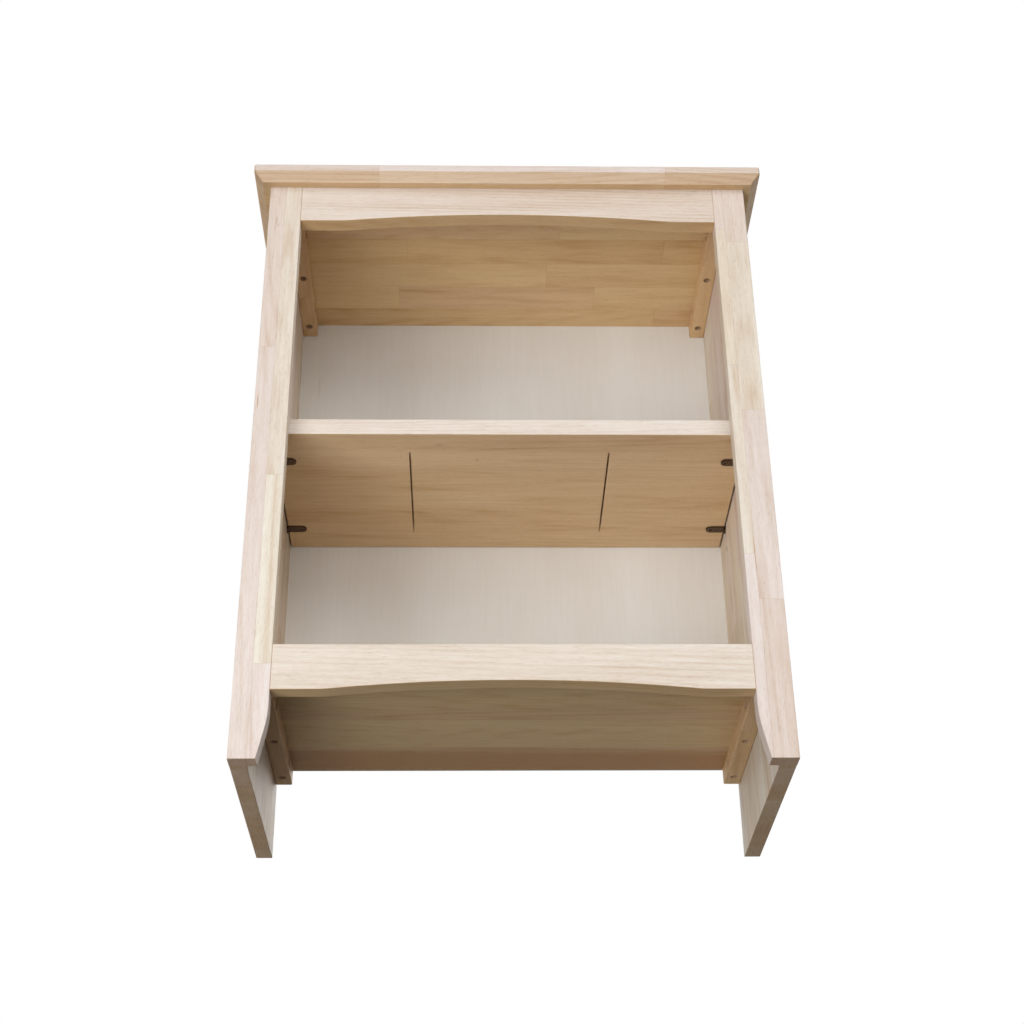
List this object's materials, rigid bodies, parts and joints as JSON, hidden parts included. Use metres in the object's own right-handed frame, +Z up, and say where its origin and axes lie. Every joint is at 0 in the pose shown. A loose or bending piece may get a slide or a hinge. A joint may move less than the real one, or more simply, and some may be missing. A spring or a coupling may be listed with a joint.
{
  "type": "bookcase",
  "caption": "Small two-tier bookcase in bare wood: overhanging bevelled top, arched rails, a loose shelf on pins and a thin back panel.",
  "frame": {"origin": "on the floor, in the middle of the bounding box", "axes": "+X to the right seen from the front, +Y from the open front to the back panel, +Z up"},
  "size_m": [0.6096, 0.3048, 0.762],
  "materials": {
    "board_wood": "bare sanded hardwood, glued from staves",
    "face_frame_wood": "bare sanded hardwood, glued from staves, pale",
    "cleat_wood": "bare sanded hardwood strip",
    "thin_plywood": "bare pale veneer, sanded",
    "dowel_wood": "bare turned hardwood",
    "dark_bronze": "dark bronze plating, satin",
    "zinc_screw": "zinc plated",
    "steel_nail": "plain steel"
  },
  "bodies": {
    "case": {"top_board": "board_wood", "bottom_shelf": "board_wood", "top_rail": "face_frame_wood", "bottom_rail": "face_frame_wood", "left_side_panel": "board_wood", "right_side_panel": "board_wood", "left_stile": "face_frame_wood", "right_stile": "face_frame_wood", "top_left_cleat": "cleat_wood", "top_right_cleat": "cleat_wood", "bottom_left_cleat": "cleat_wood", "bottom_right_cleat": "cleat_wood", "back_panel": "thin_plywood", "top_board_screws": "zinc_screw", "bottom_shelf_screws": "zinc_screw", "left_side_screws": "zinc_screw", "right_side_screws": "zinc_screw", "back_panel_nails": "steel_nail", "top_rail_dowels": "dowel_wood", "bottom_rail_dowels": "dowel_wood", "left_stile_dowels": "dowel_wood", "right_stile_dowels": "dowel_wood"},
    "shelf": {"adjustable_shelf": "board_wood"},
    "front_left_pin": {"front_left_shelf_pin": "dark_bronze"},
    "front_right_pin": {"front_right_shelf_pin": "dark_bronze"},
    "rear_left_pin": {"rear_left_shelf_pin": "dark_bronze"},
    "rear_right_pin": {"rear_right_shelf_pin": "dark_bronze"}
  },
  "joints": [
    {"name": "shelf_lift", "type": "slide", "parent": "case", "child": "shelf", "axis": [0, 0, 1], "range_m": [0, 0.303]},
    {"name": "front_left_pin_pull", "type": "slide", "parent": "case", "child": "front_left_pin", "axis": [1, 0, 0], "range_m": [0, 0.01]},
    {"name": "front_right_pin_pull", "type": "slide", "parent": "case", "child": "front_right_pin", "axis": [-1, 0, 0], "range_m": [0, 0.01]},
    {"name": "rear_left_pin_pull", "type": "slide", "parent": "case", "child": "rear_left_pin", "axis": [1, 0, 0], "range_m": [0, 0.01]},
    {"name": "rear_right_pin_pull", "type": "slide", "parent": "case", "child": "rear_right_pin", "axis": [-1, 0, 0], "range_m": [0, 0.01]}
  ]
}
